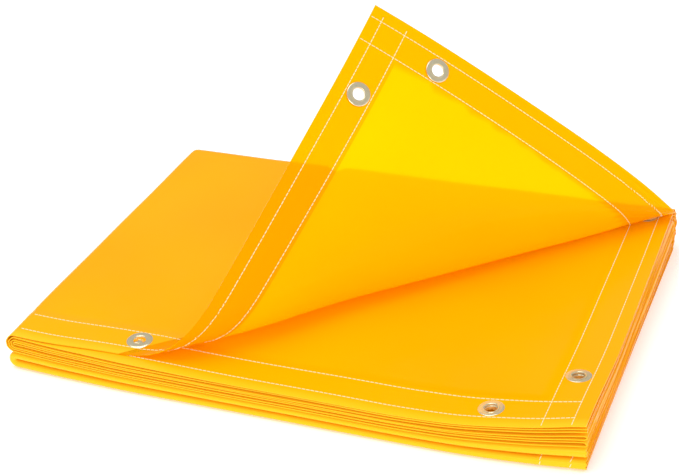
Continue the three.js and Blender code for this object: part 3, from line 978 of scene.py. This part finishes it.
class Stitches:
    """Gathers single stitches, each a short rounded length of thread that dips in at both ends."""

    def __init__(self):
        self.vertices = []
        self.faces = []

    def add(self, here, normal, along, face):
        side = np.cross(normal, along)
        start = len(self.vertices)
        for at, up, size in STITCH_RINGS:
            lift = face * HEM_T / 2 + face * up * THREAD_R
            centre_line = here + along * at * (STITCH - STITCH_GAP) + normal * lift
            for k in range(RING):
                a = 2 * math.pi * k / RING
                ring = side * math.cos(a) + normal * math.sin(a)
                self.vertices.append(centre_line + ring * THREAD_R * size)
        for s in range(len(STITCH_RINGS) - 1):
            for k in range(RING):
                a, b = start + s * RING + k, start + s * RING + (k + 1) % RING
                self.faces.append([a, b, b + RING, a + RING])
        last = start + (len(STITCH_RINGS) - 1) * RING
        self.faces.append(list(range(start + RING - 1, start - 1, -1)))
        self.faces.append(list(range(last, last + RING)))

    def row(self, place, start, end, face, keep=None):
        """A straight row on the flat sheet, from start to end."""
        start, end = np.array(start), np.array(end)
        total = np.linalg.norm(end - start)
        d = (end - start) / total
        count = int(total // STITCH)
        if count < 1:
            return
        at = start + d * ((np.arange(count) + 0.5) * total / count)[:, None]
        here, normal, along = surface_frame(place, at[:, 0], at[:, 1], d[0], d[1])
        for i in range(count):
            if keep is None or keep(at[i]):
                self.add(here[i], normal[i], along[i], face)

    def piece(self, name):
        made = link(name, self.vertices, self.faces, THREAD, 60)
        return made


def layer_place(layer):
    return lambda x, y: on_layer(layer, x, y)


ROWS = {"outer": SEAM_OUTER, "inner": SEAM_INNER}
# Where rows start and stop, past the crossing row or short of an edge.
SECOND_PAST = 1 * MM
SECOND_SHORT = 2 * MM
CORNER_PAST = 6 * MM
CORNER_SHORT_NEAR = 1.5 * MM
CORNER_SHORT_BACK = 8 * MM
APEX_CLEAR = 12 * MM  # no stitch of the corner comes nearer to the back folds than this
LOOP_REACH = 60 * MM  # the near loop's rows run this far back on both of its layers


def layer_stitches():
    """Layer 1's near hem up to the crease and both hems of layer 2, on their upper faces,
    and the near hem of layer 8 on its lower face."""
    top, second, bottom = Stitches(), Stitches(), Stitches()
    for inset in ROWS.values():
        y = Y_MIN + inset
        top.row(layer_place(1), (X_LEFT, y), (float(crease_x(y)), y), 1)
        second.row(layer_place(2), (X_LEFT, y), (X_MAX - SEAM_OUTER + SECOND_PAST, y), 1)
        second.row(layer_place(2), (X_MAX - inset, Y_MIN + SECOND_SHORT), (X_MAX - inset, Y_BACK), 1)
        bottom.row(layer_place(8), (X_LEFT, y), (X_RIGHT, y), -1)
    piece = top.piece("top_near_stitches")
    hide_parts("top_near_thread_outer", "top_near_thread_inner")
    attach(piece, "upper_half")
    piece = second.piece("second_layer_stitches")
    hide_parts(*[f"second_{side}_thread_{row}" for side in ("near", "side") for row in ROWS])
    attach(piece, "upper_half")
    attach(bottom.piece("eighth_layer_stitches"), "upper_half")


def corner_stitches():
    """All four rows of the peeled corner, on both faces, shared out between its pieces."""
    for i, name in enumerate(PEEL_NAMES):
        low, high = SPLIT_BETAS[i], SPLIT_BETAS[i + 1]
        if i == 0:
            low = -math.inf
        stitches = Stitches()

        def mine(at):
            return low <= beta_at(at[0], at[1]) < high and at[1] < Y_BACK - APEX_CLEAR

        for inset in ROWS.values():
            for face in (1, -1):
                x, y = X_MAX - inset, Y_MIN + inset
                start, end = (float(crease_x(y)), y), (X_MAX - SEAM_OUTER + CORNER_PAST, y)
                stitches.row(peeled, start, end, face, mine)
                start, end = (x, Y_MIN + CORNER_SHORT_NEAR), (x, Y_BACK - CORNER_SHORT_BACK)
                stitches.row(peeled, start, end, face, mine)
        piece = stitches.piece(name + "_stitches")
        if i < len(HINGE_BETAS):
            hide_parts(*[f"corner_near_thread_{row}_{i + 1}" for row in ROWS])
        else:
            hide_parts(*[f"corner_side_thread_{row}" for row in ROWS])
        attach_corner(piece, i)


NEAR_LOOP = 1.5 * PITCH
NEAR_LOOP_MIDDLE = (height_of(13) + height_of(16)) / 2
BACK_ROLL = height_of(1)


def round_fold(radius, y_turn, way, z_middle):
    """A fold's surface, as place(x, b); b is the length round it, from its upper layer down."""

    def place(x, b):
        turn = np.clip(b / radius, 0, math.pi)
        over = np.minimum(b, 0) - np.maximum(b - math.pi * radius, 0)
        y = y_turn + way * (radius * np.sin(turn) + over)
        return settled(np.stack([x, y, z_middle + radius * np.cos(turn)], -1))

    return place


def loop_stitches():
    """The right hem's rows where the outer near loop and the outer back fold carry them round."""
    loop, roll = Stitches(), Stitches()
    round_loop = round_fold(NEAR_LOOP, Y_NEAR, -1, Z_SPLIT + NEAR_LOOP_MIDDLE)
    round_roll = round_fold(BACK_ROLL, Y_BACK, 1, Z_SPLIT)
    for inset in ROWS.values():
        x = X_MAX - inset
        loop.row(round_loop, (x, -LOOP_REACH), (x, math.pi * NEAR_LOOP + LOOP_REACH), -1)
        roll.row(round_roll, (x, 0.0), (x, math.pi * BACK_ROLL), 1)
    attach(loop.piece("near_loop_stitches"), "lower_half")
    blend_half(roll.piece("back_roll_stitches"), BACK_ROLL)


layer_stitches()
corner_stitches()
loop_stitches()


# ---- grommets ----
# Sections are lists of (radius, height) in millimetres, from the middle of the hem.
EYELET_SECTION = [
    (6.35, 0.2), (6.4, 0.7), (6.7, 1.05), (7.3, 1.25), (8.6, 1.38), (10.4, 1.36), (12.0, 1.16),
    (13.1, 0.84), (13.5, 0.6), (13.3, 0.5), (10.5, 0.5), (6.85, 0.5), (6.8, 0.0), (6.8, -0.95),
    (7.1, -1.12), (7.9, -1.16), (8.3, -1.24), (8.2, -1.42), (7.6, -1.52), (6.9, -1.44),
    (6.45, -1.15), (6.35, -0.6),
]
WASHER_SECTION = [
    (7.0, -0.5), (12.4, -0.5), (12.6, -0.62), (12.45, -0.8), (11.6, -0.96), (9.4, -1.04),
    (8.0, -1.02), (7.1, -0.98),
]
SIDES = 36
MERGE = 0.01 * MM
TURN_BY = 2.4  # radians from one grommet to the next, so that no two sit alike


def ring_piece(name, section, material):
    """A ring of vertices, extruded and resized round the section, then closed."""
    all_off()
    first_r, first_z = section[0]
    bpy.ops.mesh.primitive_circle_add(
        vertices=SIDES, radius=first_r * MM, fill_type="NOTHING", location=(0, 0, first_z * MM)
    )
    piece = bpy.context.active_object
    piece.name = name
    piece.data.name = name
    bpy.ops.object.transform_apply(location=True, rotation=False, scale=False)
    bpy.ops.object.mode_set(mode="EDIT")
    bpy.ops.mesh.select_all(action="SELECT")
    r, z = first_r, first_z
    for next_r, next_z in section[1:] + [section[0]]:
        bpy.ops.mesh.extrude_region_move(TRANSFORM_OT_translate={"value": (0, 0, (next_z - z) * MM)})
        scale = next_r / r
        bpy.ops.transform.resize(value=(scale, scale, 1), center_override=(0, 0, next_z * MM))
        r, z = next_r, next_z
    bpy.ops.mesh.select_all(action="SELECT")
    bpy.ops.mesh.remove_doubles(threshold=MERGE)
    bpy.ops.mesh.normals_make_consistent(inside=False)
    bpy.ops.object.mode_set(mode="OBJECT")
    piece.data.materials.append(material)
    bpy.ops.object.shade_smooth_by_angle(angle=math.radians(50))
    all_off()
    return piece


def copy_to(pattern, name, matrix):
    piece = to_scene(name, pattern.data.copy())
    piece.data.name = name
    piece.data.transform(matrix)
    return piece


def seat_matrix(place, x, y, face):
    here, normal, along = surface_frame(place, np.array([x]), np.array([y]), 1.0, 0.0)
    up = Vector(normal[0]) * face
    right = Vector(along[0])
    side = up.cross(right)
    matrix = Matrix((right, side, up)).transposed().to_4x4()
    matrix.translation = Vector(here[0])
    return matrix


eyelet_pattern = ring_piece("eyelet_pattern", EYELET_SECTION, BRASS)
washer_pattern = ring_piece("washer_pattern", WASHER_SECTION, BRASS)
for number, g in enumerate(GROMMETS):
    peeled_one = g["name"] in PEELED_GROMMETS
    place = peeled if peeled_one else layer_place(g["layer"])
    face = 1 if g["layer"] % 2 else -1
    turn = Matrix.Rotation(number * TURN_BY, 4, "Z")
    matrix = seat_matrix(place, g["x"], g["y"], face) @ turn
    short = g["name"].replace("eyelet_", "").replace("grommet_", "")
    shell = copy_to(eyelet_pattern, "set_eyelet_" + short, matrix)
    back = copy_to(washer_pattern, "set_washer_" + short, matrix)
    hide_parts(g["name"])
    if g["name"].startswith("eyelet_"):
        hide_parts(g["name"].replace("eyelet_", "washer_"))
    body = "upper_half" if g["layer"] <= HALF_LAYERS else "lower_half"
    if peeled_one:
        body = PEEL_BODIES[-1]
    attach(shell, body)
    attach(back, body)
bpy.data.objects.remove(eyelet_pattern)
bpy.data.objects.remove(washer_pattern)


# ---- floor, light and camera ----
FLOOR_SIZE = 24
FLOOR_GLOW = 0.22


def floor():
    material, nodes, links, shader = plain_material("pale_floor")
    greys = (0.93, 0.93, 0.93, 1), (0.96, 0.96, 0.96, 1)
    clouded(nodes, links, shader, 3.0, 2.0, (0.3, 0.7), greys)
    shader.inputs["Roughness"].default_value = 0.85
    shader.inputs["Specular IOR Level"].default_value = 0.2
    shader.inputs["Emission Color"].default_value = (1, 1, 1, 1)
    shader.inputs["Emission Strength"].default_value = FLOOR_GLOW
    all_off()
    bpy.ops.mesh.primitive_plane_add(size=FLOOR_SIZE, location=(0, 0, 0))
    ground = bpy.context.active_object
    ground.name = "floor"
    ground.data.materials.append(material)
    all_off()


def lamp(name, place, target, size, power):
    data = bpy.data.lights.new(name, "AREA")
    data.shape = "RECTANGLE"
    data.size, data.size_y = size
    data.energy = power
    made = to_scene(name, data)
    made.location = place
    aim = Vector(target) - Vector(place)
    made.rotation_euler = aim.to_track_quat("-Z", "Y").to_euler()


ROOM_LIGHT = 0.8
ROOM_REFLECTED = 0.22


def studio():
    world = bpy.data.worlds.new("studio")
    bpy.context.scene.world = world
    world.use_nodes = True
    nodes, links = world.node_tree.nodes, world.node_tree.links
    nodes["Background"].inputs["Color"].default_value = (1, 1, 1, 1)
    # the room looks darker in reflections than it shines, as a studio with dark flags does
    path = nodes.new("ShaderNodeLightPath")
    glossy = path.outputs["Is Glossy Ray"]
    strength = map_range(nodes, links, glossy, (0.0, 1.0), (ROOM_LIGHT, ROOM_REFLECTED))
    links.new(strength, nodes["Background"].inputs["Strength"])
    lamp("softbox_top", (-0.5, -0.2, 2.2), (0, 0, 0), (1.8, 1.8), 22)
    lamp("softbox_near", (0.5, -1.9, 0.75), (0, 0, 0.05), (1.6, 0.35), 9)
    lamp("softbox_right", (2.2, -0.5, 0.75), (0, 0, 0.2), (0.9, 0.9), 1.5)


def camera():
    azimuth, elevation, roll = (math.radians(a) for a in (22.650, 27.602, -3.267))
    distance = 1.7754
    target = Vector((-0.0763, 0.1360, 0))
    focal, width = 1491.1, 679
    back = Vector((
        math.sin(azimuth) * math.cos(elevation),
        -math.cos(azimuth) * math.cos(elevation),
        math.sin(elevation),
    ))
    right = Vector((math.cos(azimuth), math.sin(azimuth), 0))
    up = back.cross(right)
    turned_right = right * math.cos(roll) + up * math.sin(roll)
    turned_up = up * math.cos(roll) - right * math.sin(roll)
    data = bpy.data.cameras.new("camera")
    data.sensor_width = 36
    data.lens = data.sensor_width * focal / width
    data.clip_start = 0.05
    data.clip_end = 100
    made = to_scene("camera", data)
    matrix = Matrix((turned_right, turned_up, back)).transposed().to_4x4()
    matrix.translation = target + back * distance
    made.matrix_world = matrix
    bpy.context.scene.camera = made


floor()
studio()
camera()
bpy.context.scene.view_settings.view_transform = "Standard"
